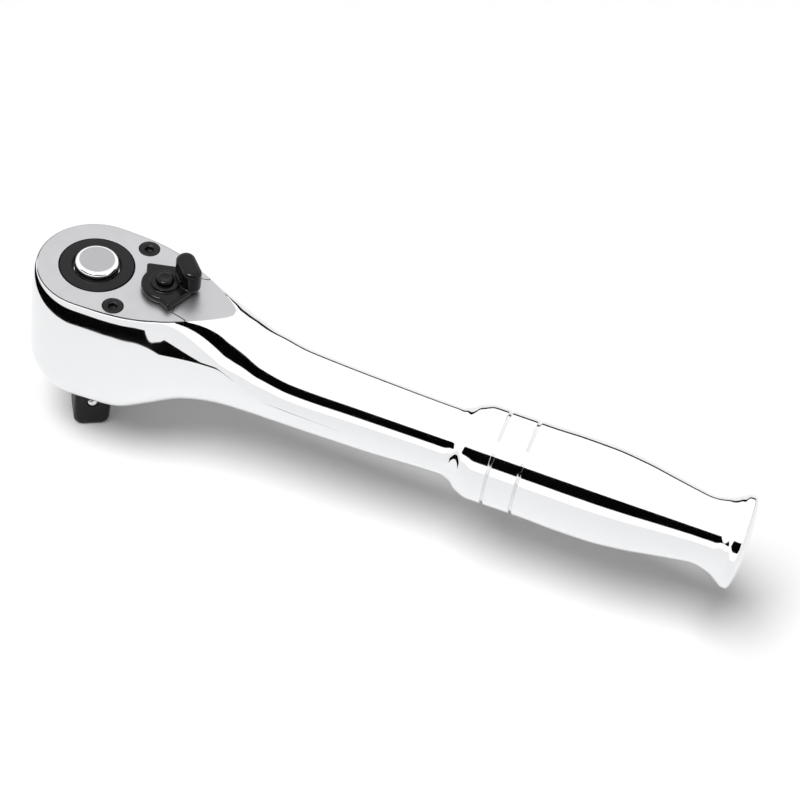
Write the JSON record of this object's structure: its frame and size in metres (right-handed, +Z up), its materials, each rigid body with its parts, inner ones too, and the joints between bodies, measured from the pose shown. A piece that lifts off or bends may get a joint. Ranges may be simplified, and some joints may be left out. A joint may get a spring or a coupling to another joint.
{
  "type": "ratchet wrench",
  "caption": "Reversible round-head ratchet wrench: chromed forging with a square drive, push-button socket release, thumb lever and swelling metal grip.",
  "frame": {"origin": "centre of the square drive's end face, on the drive's axis", "axes": "+X runs along the handle to its end, +Z runs up the drive's axis to the release button, +Y completes a right-handed frame"},
  "size_m": [0.1919, 0.0322, 0.0622],
  "materials": {
    "chrome": "mirror-polished chrome plate",
    "satin_cover": "satin chrome, finely blasted",
    "button_chrome": "polished chrome, lightly worn crown",
    "black_oxide": "matte black oxide",
    "gloss_black": "glossy black finish",
    "dark_steel": "hardened, dark",
    "bare_steel": "turned, oiled",
    "ball_steel": "polished ball",
    "spring_steel": "drawn wire",
    "rubber_seal": "matte"
  },
  "bodies": {
    "housing": {"body": "chrome", "cover_plate": "satin_cover", "cover_screw_near": "black_oxide", "cover_screw_far": "black_oxide", "thrust_washer": "bare_steel"},
    "drive": {"drive_gear": "black_oxide", "gear_o_ring": "rubber_seal", "button_snap_ring": "black_oxide", "release_spring": "spring_steel"},
    "button": {"release_button": "button_chrome", "release_rod": "bare_steel"},
    "ball": {"drive_ball": "ball_steel"},
    "pawl": {"pawl": "dark_steel"},
    "selector": {"selector_lever": "gloss_black", "selector_stem": "gloss_black", "selector_o_ring": "rubber_seal", "selector_spring": "spring_steel"},
    "plunger": {"selector_plunger": "bare_steel"}
  },
  "joints": [
    {"name": "drive_spin", "type": "hinge", "parent": "housing", "child": "drive", "pos_m": [0, 0, 0.035], "axis": [0, 0, 1], "continuous": true},
    {"name": "button_press", "type": "slide", "parent": "drive", "child": "button", "axis": [0, 0, -1], "range_m": [0, 0.0025], "stiffness_N_per_m": 900, "springref_m": -0.003, "deforming": ["release_spring"]},
    {"name": "ball_retract", "type": "slide", "parent": "drive", "child": "ball", "axis": [-0.5, 0.866, 0], "range_m": [0, 0.001]},
    {"name": "selector_turn", "type": "hinge", "parent": "housing", "child": "selector", "pos_m": [0.0184, 0, 0.05], "axis": [0, 0, 1], "range_deg": [-84, 0]},
    {"name": "pawl_shift", "type": "hinge", "parent": "housing", "child": "pawl", "pos_m": [0.0126, 0, 0.04], "axis": [0, 0, 1], "range_deg": [0, 11.4]},
    {"name": "plunger_press", "type": "slide", "parent": "selector", "child": "plunger", "axis": [0.7431, 0.6691, 0], "range_m": [0, 0.0008], "stiffness_N_per_m": 400, "springref_m": -0.002}
  ],
  "couplings": [
    {"joint": "ball_retract", "follows": "button_press", "ratio": 0.4},
    {"joint": "pawl_shift", "follows": "selector_turn", "ratio": -0.13571}
  ]
}
